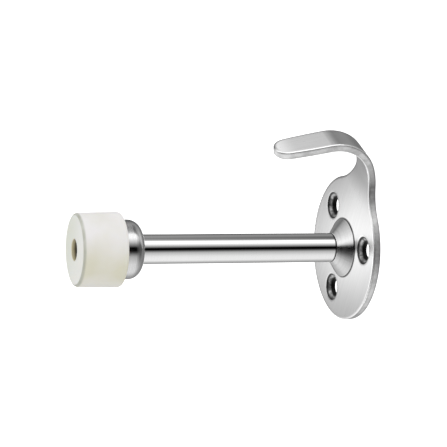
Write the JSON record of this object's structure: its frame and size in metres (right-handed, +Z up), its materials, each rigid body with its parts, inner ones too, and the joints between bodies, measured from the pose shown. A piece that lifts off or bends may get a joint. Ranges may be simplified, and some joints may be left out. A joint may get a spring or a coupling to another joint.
{
  "type": "door stop",
  "caption": "Wall-mounted door stop: a polished rod with a rubber bumper in a cup, standing on a round countersunk plate whose top is bent over into a coat hook.",
  "frame": {"origin": "centre of the round plate's back face, on the rod's axis", "axes": "+Y into the wall, -Y along the rod into the room, +Z up towards the coat hook, X the width"},
  "size_m": [0.06, 0.1187, 0.0827],
  "materials": {
    "satin_steel": "satin brushed stainless sheet",
    "turned_steel": "fine turned stainless",
    "polished_steel": "mirror polished stainless",
    "fastener": "plain stainless screw",
    "white_rubber": "matt off-white rubber"
  },
  "bodies": {
    "root": {"hook_plate": "satin_steel", "collar": "turned_steel", "rod": "polished_steel", "base_screw": "fastener", "cup": "turned_steel", "bumper": "white_rubber", "bumper_washer": "fastener", "bumper_screw": "fastener"}
  },
  "joints": []
}
